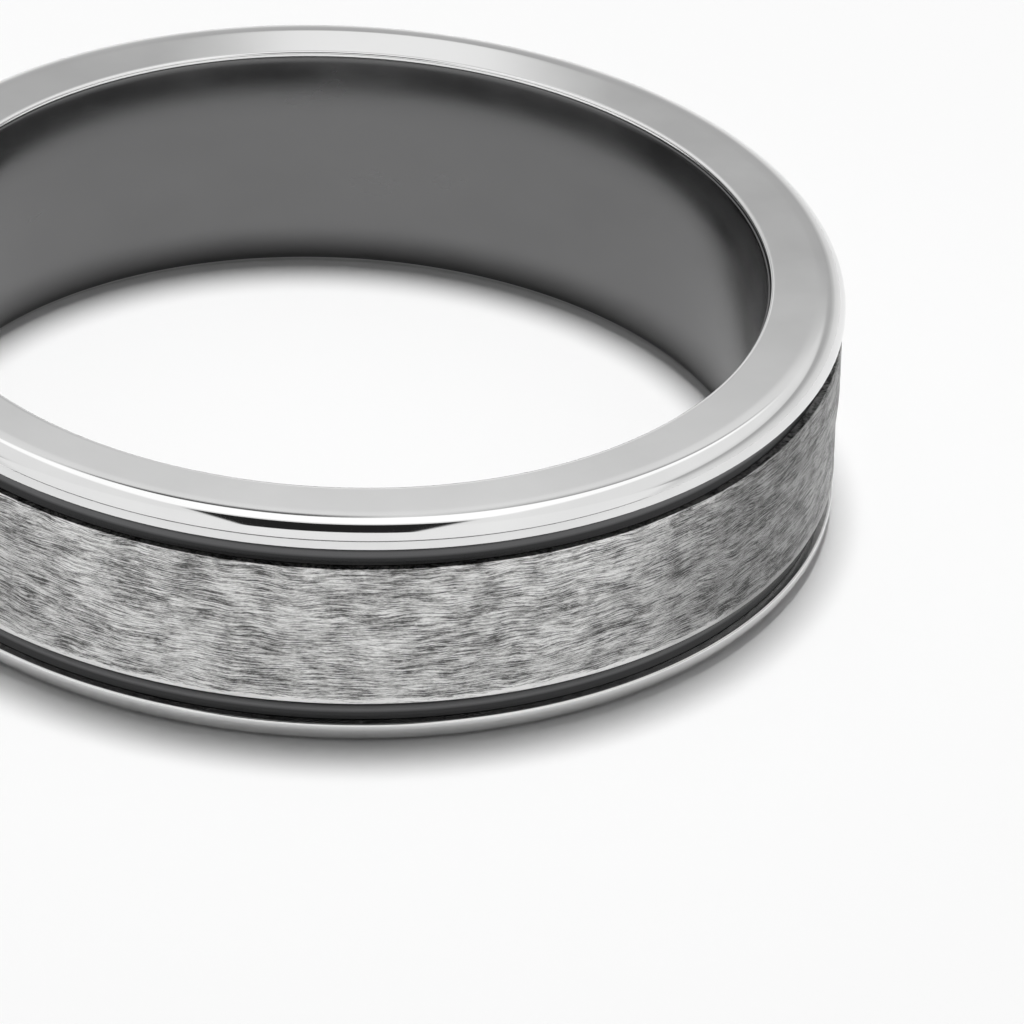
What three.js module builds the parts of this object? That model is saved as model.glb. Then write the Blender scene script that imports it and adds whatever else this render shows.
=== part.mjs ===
// Wedding band: a bonded stack of rings on a comfort-fit sleeve.
// Millimetres, +Z up. The band lies flat, its axis is Z, and the origin is the centre of its lower face.
//
// The comfort_sleeve is the dark, polished liner that the finger touches. Five plain rings slide on to it:
// lower_rim, lower_groove_ring, centre_band, upper_groove_ring, upper_rim. The two rims are polished. The two
// groove rings are dark, polished and slightly smaller, so each one is the floor of a groove. The centre band is
// hammered and brushed. Every ring is a turned part, so every shape here is a lathed section.
import * as THREE from "three";

// Driving dimensions
const BAND_WIDTH = 5.85; // along Z, over both rims
const BORE_RADIUS = 9.88; // 19.76 mm across, US ring size 10
const OUTER_RADIUS = 11.94; // over the rims and the centre band
const SLEEVE_RADIUS = 10.14; // outside of the comfort sleeve
const RIM_HEIGHT = 0.6; // along Z
const GROOVE_WIDTH = 0.53; // along Z
const GROOVE_DEPTH = 0.28; // from the outside to the lowest line of the groove's floor
const BOND_GAP = 0.015; // adhesive line between neighbouring pieces

// Shape of the sleeve's bore, which is straight in the middle and opens on an arc towards each end. The sleeve
// ends where the round of each rim's inner corner begins.
const BORE_ARC_RADIUS = 6.05;
const BORE_ARC_HEIGHT = 1.6;

// Rounds of a rim's end, on either side of its flat face
const RIM_INNER_RADIUS = 0.12;
const RIM_OUTER_RADIUS = 0.5;
const RIM_GROOVE_BREAK = 0.05; // sharp corner taken off beside the groove

// Shape of the groove's floor and of the centre band's edges
const GROOVE_FLOOR_DISH = 0.05; // how much the floor is hollowed between its two edges
const BAND_EDGE_FALL = 0.05; // how much an edge of the centre band falls inwards
const BAND_EDGE_HEIGHT = 0.16; // along Z, over which it falls

// Facets round the ring, the same on every piece, so that neighbouring facets stay parallel
const FACETS = 72;
const ARC_STEPS = 4;

const RING_BORE = SLEEVE_RADIUS + BOND_GAP; // inside of every ring on the sleeve
const SLEEVE_TOP = BAND_WIDTH - RIM_INNER_RADIUS;
const SLEEVE_BOTTOM = RIM_INNER_RADIUS;
const GROOVE_TOP = BAND_WIDTH - RIM_HEIGHT;
const CENTRE_TOP = GROOVE_TOP - GROOVE_WIDTH;
const CENTRE_BOTTOM = BAND_WIDTH - CENTRE_TOP;

const POLISHED = { color: 0xcccbc7, roughness: 0.06, metalness: 1.0 };
const DARK_POLISHED = { color: 0x56575a, roughness: 0.12, metalness: 1.0 };
const BRUSHED = { color: 0xa3a29e, roughness: 0.38, metalness: 1.0 };

// Turns a closed section of [radius, z] points, listed anticlockwise with the radius to the right.
function turned(name, section, finish) {
  const points = section.map(([radius, z]) => new THREE.Vector2(radius, z));
  points.push(points[0].clone());
  const geometry = new THREE.LatheGeometry(points, FACETS);
  geometry.rotateX(Math.PI / 2); // the lathe turns about Y
  const mesh = new THREE.Mesh(geometry, new THREE.MeshStandardMaterial(finish));
  mesh.name = name;
  return mesh;
}

// The same section on the other side of the band's middle plane.
function mirrored(section) {
  return section.map(([radius, z]) => [radius, BAND_WIDTH - z]).reverse();
}

function comfortSleeve() {
  const upperArc = [];
  const sweep = Math.asin(BORE_ARC_HEIGHT / BORE_ARC_RADIUS);
  for (let i = 0; i <= ARC_STEPS; i++) {
    const angle = sweep * (1 - i / ARC_STEPS);
    const radius = BORE_RADIUS + BORE_ARC_RADIUS * (1 - Math.cos(angle));
    const z = SLEEVE_TOP - BORE_ARC_HEIGHT + BORE_ARC_RADIUS * Math.sin(angle);
    upperArc.push([radius, z]);
  }
  const outside = [
    [SLEEVE_RADIUS, SLEEVE_BOTTOM],
    [SLEEVE_RADIUS, SLEEVE_TOP],
  ];
  return turned("comfort_sleeve", [...outside, ...upperArc, ...mirrored(upperArc)], DARK_POLISHED);
}

// A quarter of a circle about centre, which is [radius, z]. It is listed anticlockwise from startAngle.
function quarterRound(centre, roundRadius, startAngle, steps) {
  const points = [];
  for (let i = 0; i <= steps; i++) {
    const angle = startAngle + ((Math.PI / 2) * i) / steps;
    const radius = centre[0] + roundRadius * Math.cos(angle);
    points.push([radius, centre[1] + roundRadius * Math.sin(angle)]);
  }
  return points;
}

// The upper rim's section, listed from the groove's wall up the outside and back along the end face to the bore.
function rimSection() {
  const outerCentre = [OUTER_RADIUS - RIM_OUTER_RADIUS, BAND_WIDTH - RIM_OUTER_RADIUS];
  const innerCentre = [RING_BORE + RIM_INNER_RADIUS, BAND_WIDTH - RIM_INNER_RADIUS];
  return [
    [RING_BORE, GROOVE_TOP],
    [OUTER_RADIUS - RIM_GROOVE_BREAK, GROOVE_TOP],
    [OUTER_RADIUS, GROOVE_TOP + RIM_GROOVE_BREAK],
    ...quarterRound(outerCentre, RIM_OUTER_RADIUS, 0, 2 * ARC_STEPS),
    ...quarterRound(innerCentre, RIM_INNER_RADIUS, Math.PI / 2, ARC_STEPS),
  ];
}

// The upper groove ring's section. Its outside is a shallow dish, which is the floor of the groove.
function grooveRingSection() {
  const bottom = CENTRE_TOP + BOND_GAP;
  const top = GROOVE_TOP - BOND_GAP;
  const floorEdge = OUTER_RADIUS - GROOVE_DEPTH + GROOVE_FLOOR_DISH;
  const section = [[RING_BORE, bottom]];
  for (let i = 0; i <= ARC_STEPS; i++) {
    const along = i / ARC_STEPS;
    const dish = GROOVE_FLOOR_DISH * Math.sin(Math.PI * along);
    section.push([floorEdge - dish, bottom + (top - bottom) * along]);
  }
  section.push([RING_BORE, top]);
  return section;
}

function centreBand() {
  const edge = OUTER_RADIUS - BAND_EDGE_FALL;
  const section = [
    [RING_BORE, CENTRE_BOTTOM],
    [edge, CENTRE_BOTTOM],
    [OUTER_RADIUS, CENTRE_BOTTOM + BAND_EDGE_HEIGHT],
    [OUTER_RADIUS, CENTRE_TOP - BAND_EDGE_HEIGHT],
    [edge, CENTRE_TOP],
    [RING_BORE, CENTRE_TOP],
  ];
  return turned("centre_band", section, BRUSHED);
}

const band = new THREE.Group();
band.add(comfortSleeve());
band.add(turned("upper_rim", rimSection(), POLISHED));
band.add(turned("lower_rim", mirrored(rimSection()), POLISHED));
band.add(turned("upper_groove_ring", grooveRingSection(), DARK_POLISHED));
band.add(turned("lower_groove_ring", mirrored(grooveRingSection()), DARK_POLISHED));
band.add(centreBand());

export default band;
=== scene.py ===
import math

import bpy
import numpy as np
from mathutils import Matrix, Vector


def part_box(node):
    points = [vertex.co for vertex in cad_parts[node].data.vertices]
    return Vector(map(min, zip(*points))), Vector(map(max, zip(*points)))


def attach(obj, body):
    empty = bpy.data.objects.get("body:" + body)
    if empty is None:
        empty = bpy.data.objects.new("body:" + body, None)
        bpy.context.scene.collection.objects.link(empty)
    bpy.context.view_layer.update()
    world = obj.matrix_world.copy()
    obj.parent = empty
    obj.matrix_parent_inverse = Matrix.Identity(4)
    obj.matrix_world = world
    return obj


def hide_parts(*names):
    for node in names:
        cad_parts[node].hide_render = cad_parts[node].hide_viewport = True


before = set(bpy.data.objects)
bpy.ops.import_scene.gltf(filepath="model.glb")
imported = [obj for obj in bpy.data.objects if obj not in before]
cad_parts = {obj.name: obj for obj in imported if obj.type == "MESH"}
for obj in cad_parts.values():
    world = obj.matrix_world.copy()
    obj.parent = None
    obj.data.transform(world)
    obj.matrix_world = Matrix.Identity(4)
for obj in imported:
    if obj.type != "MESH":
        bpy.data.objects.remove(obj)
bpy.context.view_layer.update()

MM = 0.001


# --------------------------------------------------------------------------------------------------
# Sizes, from the frame where it holds them
# --------------------------------------------------------------------------------------------------
def top_of(node):
    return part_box(node)[1][2]


def bottom_of(node):
    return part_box(node)[0][2]


def radius_of(node):
    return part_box(node)[1][0]


BAND_WIDTH = top_of("upper_rim")
SLEEVE_TOP = top_of("comfort_sleeve")
OUTER_RADIUS = radius_of("upper_rim")
SLEEVE_RADIUS = radius_of("comfort_sleeve")
GROOVE_TOP = bottom_of("upper_rim")
CENTRE_TOP = top_of("centre_band")
CENTRE_BOTTOM = bottom_of("centre_band")
FLOOR_EDGE_RADIUS = radius_of("upper_groove_ring")

# Details of the sections, which the boxes don't hold. Those without a note of their own are the CAD's.
BOND_GAP = 0.015 * MM
BORE_RADIUS = 9.88 * MM
BORE_ARC_RADIUS = 6.05 * MM
BORE_ARC_HEIGHT = 1.6 * MM
RIM_INNER_ROUND = 0.05 * MM  # tighter than the CAD's 0.12 mm, with a short bore wall under it
RIM_GROOVE_BREAK = 0.05 * MM
RIM_OUTER_RADIUS = 0.5 * MM
ROLL_OFF_WIDTH = 0.25 * MM  # where polishing has tipped the flat face a little, next to the outer round
ROLL_OFF_TILT = math.radians(3)
GROOVE_FLOOR_DISH = 0.05 * MM
BAND_EDGE_FALL = 0.05 * MM
BAND_EDGE_HEIGHT = 0.16 * MM
EDGE_BREAK = 0.02 * MM  # rounding of every sharp corner

RING_BORE = SLEEVE_RADIUS + BOND_GAP
LOWER_GROOVE_BOTTOM = BAND_WIDTH - GROOVE_TOP
GROOVE_LEVELS = (GROOVE_TOP, CENTRE_TOP, CENTRE_BOTTOM, LOWER_GROOVE_BOTTOM)  # heights of the groove walls

SEGMENTS = 720  # round a polished piece


# --------------------------------------------------------------------------------------------------
# Turned meshes
# --------------------------------------------------------------------------------------------------
def ring_mesh(name, radii, heights):
    """A closed ring. radii and heights have one row per point of the section, which is listed anticlockwise
    with the radius to the right, and one column per step round the axis."""
    rows, steps = radii.shape
    angle = np.arange(steps) * 2 * math.pi / steps
    points = np.stack([radii * np.cos(angle), radii * np.sin(angle), heights], axis=-1)
    corner = np.arange(rows * steps).reshape(rows, steps)
    along = np.roll(corner, -1, axis=1)
    quads = np.stack([corner, along, np.roll(along, -1, axis=0), np.roll(corner, -1, axis=0)], axis=-1)
    mesh = bpy.data.meshes.new(name)
    mesh.from_pydata(points.reshape(-1, 3), [], quads.reshape(-1, 4))
    mesh.shade_smooth()
    mesh.set_sharp_from_angle(angle=math.radians(35))
    piece = bpy.data.objects.new(name, mesh)
    bpy.context.collection.objects.link(piece)
    return piece


def turned(name, section, steps=SEGMENTS):
    """A ring with the same section all the way round."""
    points = np.array(section)
    radii = np.repeat(points[:, :1], steps, axis=1)
    heights = np.repeat(points[:, 1:], steps, axis=1)
    return ring_mesh(name, radii, heights)


def mirrored(section):
    return [(radius, BAND_WIDTH - height) for radius, height in reversed(section)]


def straight(start, end, count):
    """Points from start towards end, without end."""
    steps = [i / count for i in range(count)]
    return [(start[0] + (end[0] - start[0]) * t, start[1] + (end[1] - start[1]) * t) for t in steps]


def arc(centre, radius, first, last, count):
    """Points on an arc, both ends included. Angles in degrees, anticlockwise from the outward direction."""
    points = []
    for i in range(count + 1):
        angle = math.radians(first + (last - first) * i / count)
        points.append((centre[0] + radius * math.cos(angle), centre[1] + radius * math.sin(angle)))
    return points


# --------------------------------------------------------------------------------------------------
# The six pieces
# --------------------------------------------------------------------------------------------------
def comfort_sleeve():
    """Straight bore with an arc that opens it at each end, and a thin end face."""
    middle = BAND_WIDTH / 2
    sweep = math.degrees(math.asin(BORE_ARC_HEIGHT / BORE_ARC_RADIUS))
    arc_centre = (BORE_RADIUS + BORE_ARC_RADIUS, SLEEVE_TOP - BORE_ARC_HEIGHT)
    bore = arc(arc_centre, BORE_ARC_RADIUS, 180 - sweep, 180, 24)
    mouth_radius = bore[0][0]
    lip = arc((mouth_radius + EDGE_BREAK, SLEEVE_TOP - EDGE_BREAK), EDGE_BREAK, 90, 170, 5)
    back = arc((SLEEVE_RADIUS - EDGE_BREAK / 2, SLEEVE_TOP - EDGE_BREAK / 2), EDGE_BREAK / 2, 0, 90, 4)
    upper = back + lip + bore[1:]
    bore_wall = straight(bore[-1], (BORE_RADIUS, middle), 6)[1:]
    half = upper + bore_wall
    return turned("sleeve", half + [(BORE_RADIUS, middle)] + mirrored(half))


def rim_section():
    """The upper rim: groove wall, wide round, faint roll-off, flat end face, small round at the bore."""
    corner_centre = (OUTER_RADIUS - RIM_GROOVE_BREAK, GROOVE_TOP + RIM_GROOVE_BREAK)
    groove_corner = arc(corner_centre, RIM_GROOVE_BREAK, -90, 0, 8)
    tilt = math.degrees(ROLL_OFF_TILT)
    flat_edge = OUTER_RADIUS - RIM_OUTER_RADIUS * (1 - math.sin(ROLL_OFF_TILT)) - ROLL_OFF_WIDTH
    roll_radius = ROLL_OFF_WIDTH / math.sin(ROLL_OFF_TILT)
    roll_off = arc((flat_edge, BAND_WIDTH - roll_radius), roll_radius, 90 - tilt, 90, 8)
    outer_centre = (
        roll_off[0][0] - RIM_OUTER_RADIUS * math.sin(ROLL_OFF_TILT),
        roll_off[0][1] - RIM_OUTER_RADIUS * math.cos(ROLL_OFF_TILT),
    )
    outer_round = arc(outer_centre, RIM_OUTER_RADIUS, 0, 90 - tilt, 32)
    inner_centre = (RING_BORE + RIM_INNER_ROUND, BAND_WIDTH - RIM_INNER_ROUND)
    inner_round = arc(inner_centre, RIM_INNER_ROUND, 90, 180, 10)
    flat = straight(roll_off[-1], inner_round[0], 16)[1:]
    return [(RING_BORE, GROOVE_TOP)] + groove_corner + outer_round + roll_off[1:] + flat + inner_round


def groove_section():
    """The upper groove ring: a shallow dished floor between two square shoulders."""
    bottom = CENTRE_TOP + BOND_GAP
    top = GROOVE_TOP - BOND_GAP
    section = [(RING_BORE, bottom)]
    count = 24
    for i in range(count + 1):
        along = i / count
        dish = GROOVE_FLOOR_DISH * math.sin(math.pi * along)
        section.append((FLOOR_EDGE_RADIUS - dish, bottom + (top - bottom) * along))
    return section + [(RING_BORE, top)]


BAND_STEPS = 860  # of the mesh, round the centre band
BAND_ROWS = 104  # of the mesh, up its face
BAND_HOLLOW = 0.03 * MM  # how far hammering has sunk the face below its lower lip
LIP_HEIGHT = 0.14 * MM  # smooth lip along the lower edge of the band, free of the hammering; its brightness is a painted highlight in the material
LIP_HIGHLIGHT_RAGGEDNESS = 0.05 * MM  # how far the upper line of the painted highlight along the lower lip wanders up and down
DENT_DEPTH = 0.009 * MM
RIPPLE_DEPTH = 0.0024 * MM
STROKE_DEPTH = 0.001 * MM


def smoothed(field, length_steps, width_rows, slant=0.0):
    """Blurs a field that repeats round the ring by a length in steps and a width in rows, and evens its
    strength. Slant is in rows a step."""
    along = np.fft.fftfreq(field.shape[1])[None, :]
    across = np.fft.fftfreq(field.shape[0])[:, None]
    along_slanted = along + slant * across
    spread = (along_slanted * length_steps) ** 2 + (across * width_rows) ** 2
    keep = np.exp(-2 * math.pi**2 * spread)
    result = np.real(np.fft.ifft2(np.fft.fft2(field) * keep))
    return result / result.std()


def brushed_relief(rows, steps):
    """Depth of the hammering and of the brush strokes on a grid of the centre band's face, in metres."""
    rng = np.random.default_rng(7)
    noise = [rng.standard_normal((rows * 2, steps)) for _ in range(5)]
    dents = smoothed(noise[0], 7.0, 11.0)[:rows]
    ripples = smoothed(noise[1], 5.0, 3.0)[:rows]
    rising = smoothed(noise[2], 4.0, 0.55, slant=-0.18)[:rows]
    level = smoothed(noise[3], 5.0, 0.55)[:rows]
    mix = 0.5 + 0.5 * np.tanh(smoothed(noise[4], 22.0, 26.0)[:rows])
    strokes = mix * rising + (1 - mix) * level
    return DENT_DEPTH * dents + RIPPLE_DEPTH * ripples + STROKE_DEPTH * strokes


def centre_band():
    """Hammered and brushed face between a softened upper edge and a smooth lower lip, which the material
    brightens with a painted highlight.
    """
    height = np.linspace(CENTRE_BOTTOM, CENTRE_TOP, BAND_ROWS)
    from_edge = np.minimum(height - CENTRE_BOTTOM, CENTRE_TOP - height)
    fall_height = np.where(height < BAND_WIDTH / 2, BAND_EDGE_HEIGHT / 4, BAND_EDGE_HEIGHT)
    fall = BAND_EDGE_FALL * np.clip(1 - from_edge / fall_height, 0, 1) ** 1.3
    above_lip = np.clip((height - CENTRE_BOTTOM) / LIP_HEIGHT, 0, 1)
    near_edge = np.clip(1 - from_edge / BAND_EDGE_HEIGHT, 0, 1)
    hollow = BAND_HOLLOW * np.minimum(above_lip, 1 - 0.5 * near_edge)
    relief = brushed_relief(BAND_ROWS, BAND_STEPS) * above_lip[:, None]
    face_radii = OUTER_RADIUS - (fall + hollow)[:, None] + relief
    face_radii = np.minimum(face_radii, OUTER_RADIUS + 0.01 * MM)
    face_heights = np.repeat(height[:, None], BAND_STEPS, axis=1)
    walls = [0.985, 0.6, 0.3]
    top_radii = [RING_BORE + (face_radii[-1] - RING_BORE) * w for w in walls]
    bottom_radii = [RING_BORE + (face_radii[0] - RING_BORE) * w for w in reversed(walls)]
    inner = np.full((1, BAND_STEPS), RING_BORE)
    radii = np.vstack([face_radii, *top_radii, inner, inner, *bottom_radii])
    heights = np.vstack(
        [face_heights]
        + [np.full((1, BAND_STEPS), CENTRE_TOP)] * 4
        + [np.full((1, BAND_STEPS), CENTRE_BOTTOM)] * 4
    )
    return ring_mesh("brushed_band", radii, heights)


# --------------------------------------------------------------------------------------------------
# Materials
# --------------------------------------------------------------------------------------------------
def node(tree, kind, inputs=None, **settings):
    made = tree.nodes.new(kind)
    for key, value in settings.items():
        setattr(made, key, value)
    for key, value in (inputs or {}).items():
        if isinstance(value, bpy.types.NodeSocket):
            tree.links.new(value, made.inputs[key])
        else:
            made.inputs[key].default_value = value
    return made


def stretched_noise(tree, along, across, detail=2.0, roughness=0.5, offset=(0.0, 0.0, 0.0), warp=None):
    """Noise whose grain is along metres long round the ring and across metres wide along the axis."""
    place = node(tree, "ShaderNodeTexCoord").outputs["Object"]
    if warp is not None:
        place = node(tree, "ShaderNodeVectorMath", {0: place, 1: warp}, operation="ADD").outputs[0]
    scale = (1 / along, 1 / along, 1 / across)
    mapped = node(tree, "ShaderNodeMapping", {"Vector": place, "Scale": scale, "Location": offset})
    settings = {"Vector": mapped.outputs[0], "Scale": 1.0, "Detail": detail, "Roughness": roughness}
    return node(tree, "ShaderNodeTexNoise", settings).outputs["Fac"]


def height_in(tree):
    """Height above the floor, in metres."""
    place = node(tree, "ShaderNodeTexCoord").outputs["Object"]
    return node(tree, "ShaderNodeSeparateXYZ", {0: place}).outputs["Z"]


def ranged(tree, value, low, high, to_low, to_high):
    settings = {"Value": value, "From Min": low, "From Max": high, "To Min": to_low, "To Max": to_high}
    return node(tree, "ShaderNodeMapRange", settings).outputs["Result"]


def mixed_colour(tree, factor, first, second):
    made = node(tree, "ShaderNodeMix", data_type="RGBA")
    made.inputs[6].default_value = (*first, 1)
    made.inputs[7].default_value = (*second, 1)
    tree.links.new(factor, made.inputs[0])
    return made.outputs[2]


def metal(name):
    material = bpy.data.materials.new(name)
    material.use_nodes = True
    tree = material.node_tree
    shader = tree.nodes["Principled BSDF"]
    shader.inputs["Metallic"].default_value = 1.0
    return material, tree, shader


def polished(name, colour, roughness, haze, lap_depth):
    """Polished metal with a little haze in patches, and lapping lines round the ring."""
    material, tree, shader = metal(name)
    patches = stretched_noise(tree, 2.2 * MM, 1.1 * MM, detail=3.0)
    hairlines = stretched_noise(tree, 1.6 * MM, 0.035 * MM, detail=2.0, offset=(3.0, 1.0, 5.0))
    hazed = [channel * 0.93 for channel in colour]
    tone = mixed_colour(tree, ranged(tree, patches, 0.3, 0.7, 0.0, 1.0), hazed, colour)
    tree.links.new(tone, shader.inputs["Base Color"])
    rough = ranged(tree, patches, 0.3, 0.75, roughness, roughness + haze)
    tree.links.new(rough, shader.inputs["Roughness"])
    bump = node(tree, "ShaderNodeBump", {"Height": hairlines, "Strength": 0.25, "Distance": lap_depth})
    tree.links.new(bump.outputs[0], shader.inputs["Normal"])
    return material


def grooved(name, colour, roughness, haze, lap_depth):
    """The polished dark metal of a groove, with painted shade that makes it almost black in its corners."""
    material = polished(name, colour, roughness, haze, lap_depth)
    tree = material.node_tree
    shader = tree.nodes["Principled BSDF"]
    height = height_in(tree)
    # painted shade: within 0.15 mm of each groove wall the base colour falls to a third of its own, back to
    # full by 0.22 mm
    shade = 1.0
    for level in GROOVE_LEVELS:
        gap = node(tree, "ShaderNodeMath", {0: height, 1: level}, operation="SUBTRACT").outputs[0]
        gap = node(tree, "ShaderNodeMath", {0: gap}, operation="ABSOLUTE").outputs[0]
        corner_shade_mask = ranged(tree, gap, 0.15 * MM, 0.22 * MM, 0.0, 1.0)
        shade = node(tree, "ShaderNodeMath", {0: shade, 1: corner_shade_mask}, operation="MULTIPLY").outputs[0]
    base = shader.inputs["Base Color"].links[0].from_socket
    made = node(tree, "ShaderNodeMix", data_type="RGBA")
    made.inputs[6].default_value = (*[channel * 0.32 for channel in colour], 1)
    tree.links.new(base, made.inputs[7])
    tree.links.new(shade, made.inputs[0])
    tree.links.new(made.outputs[2], shader.inputs["Base Color"])
    return material


def brushed(name):
    """Wire-brushed metal: fine strokes in bump, tone and roughness over the relief that the mesh holds."""
    material, tree, shader = metal(name)
    sway_noise = stretched_noise(tree, 1.3 * MM, 0.9 * MM, detail=1.0, offset=(7.0, 2.0, 1.0))
    sway = ranged(tree, sway_noise, 0.0, 1.0, -0.15 * MM, 0.15 * MM)
    warp = node(tree, "ShaderNodeCombineXYZ", {"Z": sway}).outputs[0]
    fine = stretched_noise(tree, 0.12 * MM, 0.013 * MM, detail=4.0, roughness=0.78, warp=warp)
    long = stretched_noise(tree, 0.6 * MM, 0.026 * MM, detail=3.0, offset=(1.0, 4.0, 9.0), warp=warp)
    flecks = stretched_noise(tree, 0.34 * MM, 0.15 * MM, detail=3.0, offset=(2.0, 8.0, 4.0), warp=warp)
    patches = stretched_noise(tree, 1.0 * MM, 0.6 * MM, detail=2.0, offset=(5.0, 5.0, 2.0))
    strokes = node(tree, "ShaderNodeMath", {0: fine, 1: long}, operation="ADD").outputs[0]
    level = ranged(tree, strokes, 0.83, 1.16, 0.0, 1.0)
    for field, weight in ((flecks, 0.16), (patches, 0.2)):
        shade = ranged(tree, field, 0.32, 0.68, -weight, weight)
        level = node(tree, "ShaderNodeMath", {0: level, 1: shade}, operation="ADD").outputs[0]
    height = height_in(tree)
    # painted highlight: below a ragged line 0.1 to 0.15 mm above the band's lower edge, the base colour is
    # lifted towards its brightest and the roughness drops with it
    ragged = ranged(tree, flecks, 0.3, 0.7, -LIP_HIGHLIGHT_RAGGEDNESS, LIP_HIGHLIGHT_RAGGEDNESS)
    height = node(tree, "ShaderNodeMath", {0: height, 1: ragged}, operation="ADD").outputs[0]
    painted_lip_highlight = ranged(tree, height, CENTRE_BOTTOM + 0.1 * MM, CENTRE_BOTTOM + 0.15 * MM, 0.8, 0.0)
    level = node(tree, "ShaderNodeMath", {0: level, 1: painted_lip_highlight}, operation="ADD").outputs[0]
    level = node(tree, "ShaderNodeClamp", {0: level}).outputs[0]
    metal_colour = mixed_colour(tree, level, (0.095, 0.095, 0.093), (0.81, 0.808, 0.80))
    facing = node(tree, "ShaderNodeLayerWeight", {"Blend": 0.5}).outputs["Facing"]
    painted_slant_shade = ranged(tree, facing, 0.27, 0.5, 1.0, 0.42)  # painted shade: the base colour darkens where the face is seen at a slant
    shaded = node(tree, "ShaderNodeMix", data_type="RGBA", blend_type="MULTIPLY")
    shaded.inputs[0].default_value = 1.0
    tree.links.new(metal_colour, shaded.inputs[6])
    tree.links.new(painted_slant_shade, shaded.inputs[7])
    tree.links.new(shaded.outputs[2], shader.inputs["Base Color"])
    tree.links.new(ranged(tree, level, 0.0, 1.0, 0.46, 0.28), shader.inputs["Roughness"])
    bump = node(tree, "ShaderNodeBump", {"Height": strokes, "Strength": 1.0, "Distance": 0.012 * MM})
    tree.links.new(bump.outputs[0], shader.inputs["Normal"])
    return material


BRIGHT = (0.80, 0.80, 0.798)
SLEEVE_GREY = (0.164, 0.164, 0.165)
GROOVE_GREY = (0.118, 0.118, 0.120)


# --------------------------------------------------------------------------------------------------
# Studio: pale floor, and a surround of soft panels
# --------------------------------------------------------------------------------------------------
def white_floor():
    mesh = bpy.data.meshes.new("floor")
    half = 0.5
    level = -0.005 * MM  # a hair under the band, so that the two surfaces don't coincide
    corners = [(-half, -half, level), (half, -half, level), (half, half, level), (-half, half, level)]
    mesh.from_pydata(corners, [], [(0, 1, 2, 3)])
    floor = bpy.data.objects.new("floor", mesh)
    bpy.context.collection.objects.link(floor)
    material = bpy.data.materials.new("floor_white")
    material.use_nodes = True
    shader = material.node_tree.nodes["Principled BSDF"]
    shader.inputs["Base Color"].default_value = (0.9, 0.9, 0.9, 1)
    shader.inputs["Roughness"].default_value = 1.0
    shader.inputs["Specular IOR Level"].default_value = 0.0
    mesh.materials.append(material)


def disc_light(name, azimuth, elevation, distance, size, irradiance):
    """A round area light that lights the floor but isn't mirrored in the metal."""
    data = bpy.data.lights.new(name, "AREA")
    data.shape = "DISK"
    data.size = size
    data.energy = irradiance * math.pi * distance**2
    light = bpy.data.objects.new(name, data)
    bpy.context.collection.objects.link(light)
    towards = direction(azimuth, elevation)
    turn = towards.to_track_quat("Z", "Y").to_matrix().to_4x4()
    light.matrix_world = Matrix.Translation(towards * distance) @ turn
    light.visible_glossy = False


def direction(azimuth, elevation):
    """Unit vector. Azimuth 0 is behind the ring as the camera sees it, and grows to the right."""
    az, el = math.radians(azimuth), math.radians(elevation)
    return Vector((math.sin(az) * math.cos(el), math.cos(az) * math.cos(el), math.sin(el)))


def add_panel(tree, sky, ray, azimuth, elevation, half_width, half_height, radiance, soft):
    """Lays a soft-edged rectangular panel over the sky. Sizes are in degrees from its centre."""
    centre = direction(azimuth, elevation)
    side = direction(azimuth + 90, 0)
    up = side.cross(centre)

    def along(axis):
        product = node(tree, "ShaderNodeVectorMath", {0: ray, 1: axis}, operation="DOT_PRODUCT")
        return product.outputs["Value"]

    facing = along(centre)
    cover = ranged(tree, facing, 0.0, 0.01, 0.0, 1.0)
    for axis, half in ((side, half_width), (up, half_height)):
        slope = node(tree, "ShaderNodeMath", {0: along(axis), 1: facing}, operation="DIVIDE").outputs[0]
        size = node(tree, "ShaderNodeMath", {0: slope}, operation="ABSOLUTE").outputs[0]
        inner = math.tan(math.radians(max(half - soft, 0.0)))
        outer = math.tan(math.radians(half + soft))
        edge = ranged(tree, size, inner, outer, 1.0, 0.0)
        cover = node(tree, "ShaderNodeMath", {0: cover, 1: edge}, operation="MULTIPLY").outputs[0]
    made = node(tree, "ShaderNodeMix", {0: cover}, data_type="FLOAT")
    tree.links.new(sky, made.inputs[2])
    made.inputs[3].default_value = radiance
    return made.outputs[0]


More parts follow.
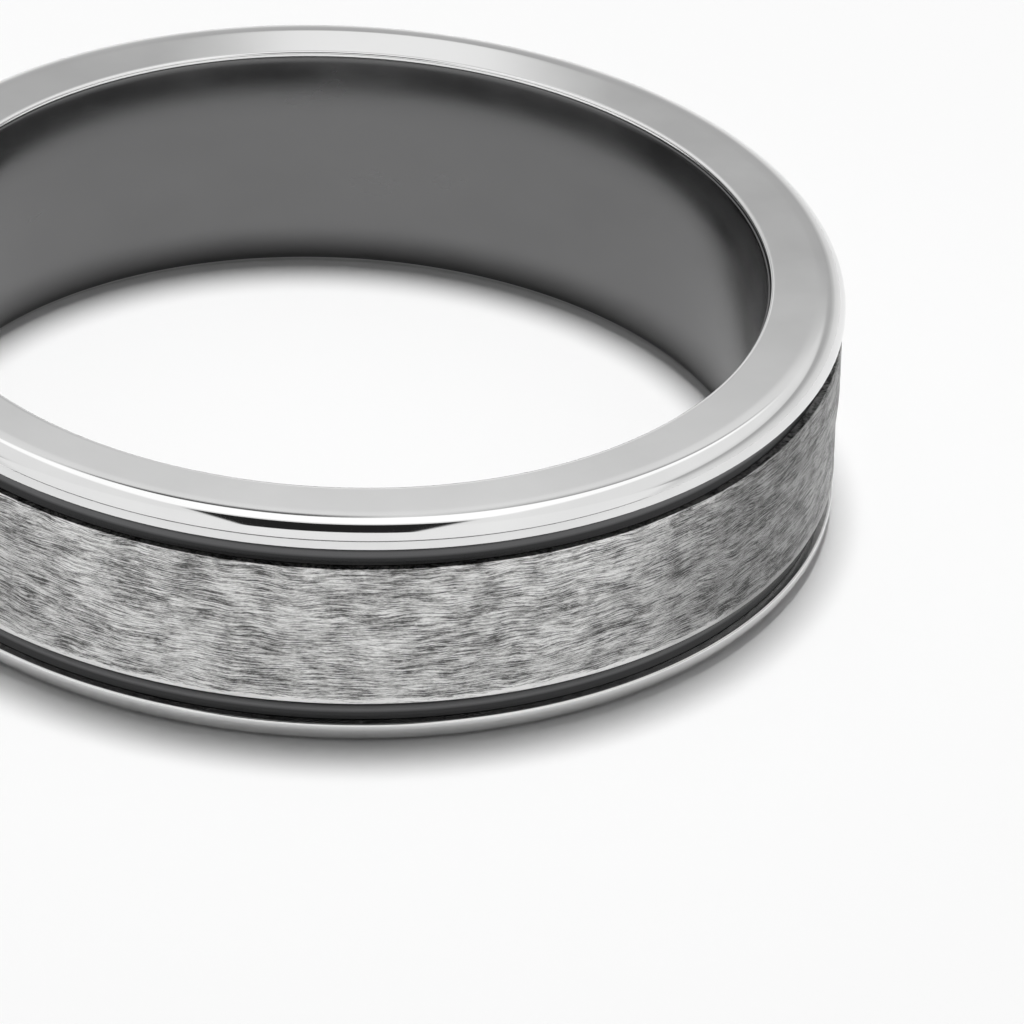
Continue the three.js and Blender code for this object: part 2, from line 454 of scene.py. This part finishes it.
def soft_surround():
    world = bpy.data.worlds.new("surround")
    bpy.context.scene.world = world
    world.use_nodes = True
    tree = world.node_tree
    ray = node(tree, "ShaderNodeTexCoord").outputs["Generated"]
    height = node(tree, "ShaderNodeSeparateXYZ", {0: ray}).outputs["Z"]
    ramp = node(tree, "ShaderNodeValToRGB", {0: height})
    stops = (
        # sine of the elevation, radiance
        (0.0, 0.9),
        (0.276, 0.77),
        (0.342, 0.63),
        (0.44, 0.48),
        (0.495, 0.50),
        (0.525, 0.84),
        (0.56, 0.88),
        (0.63, 0.95),
        (1.0, 0.95),
    )
    elements = ramp.color_ramp.elements
    while len(elements) < len(stops):
        elements.new(0.5)
    for element, (place, radiance) in zip(elements, stops):
        element.position = place
        element.color = (radiance, radiance, radiance, 1)
    sky = ramp.outputs["Color"]
    panels = (
        # azimuth, elevation, half width, half height, radiance, softness
        (180, 35, 70, 36, 1.0, 3),  # big box behind the camera
        (180, 1.5, 70, 2.5, 0.1, 1),  # dark gap under it
        (0.28, 28.9, 0.88, 1.3, 1.05, 0.3),  # window behind the ring
        (0, 61.5, 16, 21.5, 1.3, 2.0),  # bright strip over the window
        (180, 69, 16, 21.5, 0.02, 0.8),  # dark gap overhead
        (-1.8, 38.5, 1.8, 2.6, 0.1, 0.5),  # dark bar over the window
        (6.5, 38.0, 3.5, 2.5, 0.45, 1.0),  # grey bar beside it
    )
    for panel in panels:
        sky = add_panel(tree, sky, ray, *panel)
    background = tree.nodes["Background"]
    tree.links.new(sky, background.inputs["Color"])
    world.cycles_visibility.diffuse = False
    world.cycles.sampling_method = "MANUAL"
    world.cycles.sample_map_resolution = 2048


# --------------------------------------------------------------------------------------------------
# Camera
# --------------------------------------------------------------------------------------------------
def close_up_camera():
    azimuth = 1.245  # degrees to the right of +Y that the camera looks
    elevation = 31.43
    roll = 3.146
    distance = 228.4 * MM
    aim = Vector((4.234 * MM, -6.143 * MM, BAND_WIDTH / 2))
    forward = direction(azimuth, -elevation)
    level = direction(azimuth + 90, 0)
    upright = level.cross(forward)
    angle = math.radians(roll)
    right = level * math.cos(angle) + upright * math.sin(angle)
    up = upright * math.cos(angle) - level * math.sin(angle)
    data = bpy.data.cameras.new("camera")
    data.lens = 347.3
    data.sensor_width = 36.0
    data.clip_start = 0.01
    data.clip_end = 100.0
    camera = bpy.data.objects.new("camera", data)
    bpy.context.collection.objects.link(camera)
    turn = Matrix((right, up, -forward)).transposed()
    camera.matrix_world = Matrix.Translation(aim - forward * distance) @ turn.to_4x4()
    bpy.context.scene.camera = camera


def finish_piece(piece, material, cad_node):
    piece.data.materials.append(material)
    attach(piece, "root")
    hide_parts(cad_node)


close_up_camera()
white_floor()
soft_surround()
disc_light("key", 0, 83, 1.2, 0.35, 2.96)
disc_light("fill", 0, 90, 1.0, 3.0, 1.5)

rim_metal = polished("rim_polish", BRIGHT, 0.045, 0.03, 0.0006 * MM)
sleeve_metal = polished("sleeve_polish", SLEEVE_GREY, 0.2, 0.08, 0.0008 * MM)
groove_metal = grooved("groove_polish", GROOVE_GREY, 0.14, 0.08, 0.001 * MM)
band_metal = brushed("hammered_brushed")

finish_piece(comfort_sleeve(), sleeve_metal, "comfort_sleeve")
finish_piece(turned("rim_upper", rim_section()), rim_metal, "upper_rim")
finish_piece(turned("rim_lower", mirrored(rim_section())), rim_metal, "lower_rim")
groove_upper = turned("groove_upper", groove_section())
groove_lower = turned("groove_lower", mirrored(groove_section()))
finish_piece(groove_upper, groove_metal, "upper_groove_ring")
finish_piece(groove_lower, groove_metal, "lower_groove_ring")
finish_piece(centre_band(), band_metal, "centre_band")

view = bpy.context.scene.view_settings
view.view_transform = "Standard"
view.look = "None"
